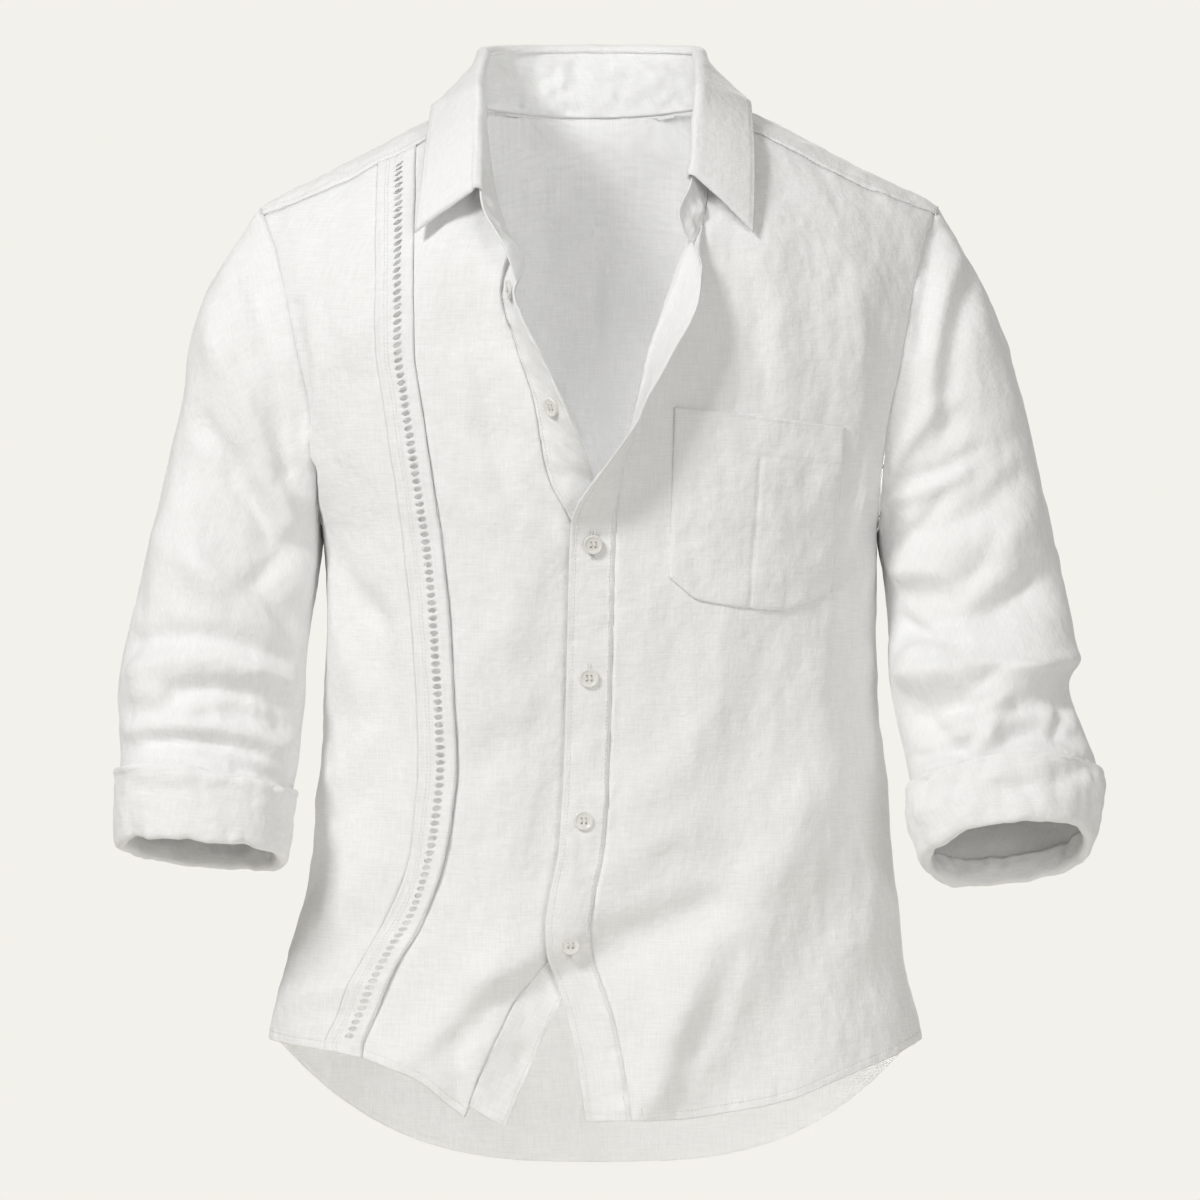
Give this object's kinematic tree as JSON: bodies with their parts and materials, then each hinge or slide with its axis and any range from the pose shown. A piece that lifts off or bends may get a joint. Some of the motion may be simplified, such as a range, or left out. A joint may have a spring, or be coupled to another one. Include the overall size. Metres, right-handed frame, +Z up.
{
  "type": "button-up shirt",
  "caption": "Long-sleeved button-up linen shirt, filled out as if worn, with rolled cuffs, open collar, chest pocket and a ladder-stitch strip down one front.",
  "frame": {"origin": "centre of the neck base, level with the shoulder line where it meets the neck: where the wearer's neck and shoulders hold the shirt up", "axes": "+Z up, -Y the front of the shirt, +X the wearer's left"},
  "size_m": [0.6772, 0.2665, 0.8025],
  "materials": {
    "linen": "matte plain-weave linen, bleached white",
    "button": "soft gloss, off-white"
  },
  "bodies": {
    "root": {"front_right_side": "linen", "ladder_trim": "linen", "front_right_centre": "linen", "under_placket": "linen", "front_left": "linen", "button_placket": "linen", "back": "linen", "sleeve_right": "linen", "sleeve_left": "linen", "collar_stand": "linen", "collar_leaf": "linen", "pocket": "linen", "cuff_right": "linen", "cuff_left": "linen", "button_1": "button", "button_2": "button", "button_3": "button", "button_4": "button", "button_5": "button", "button_6": "button"}
  },
  "joints": []
}
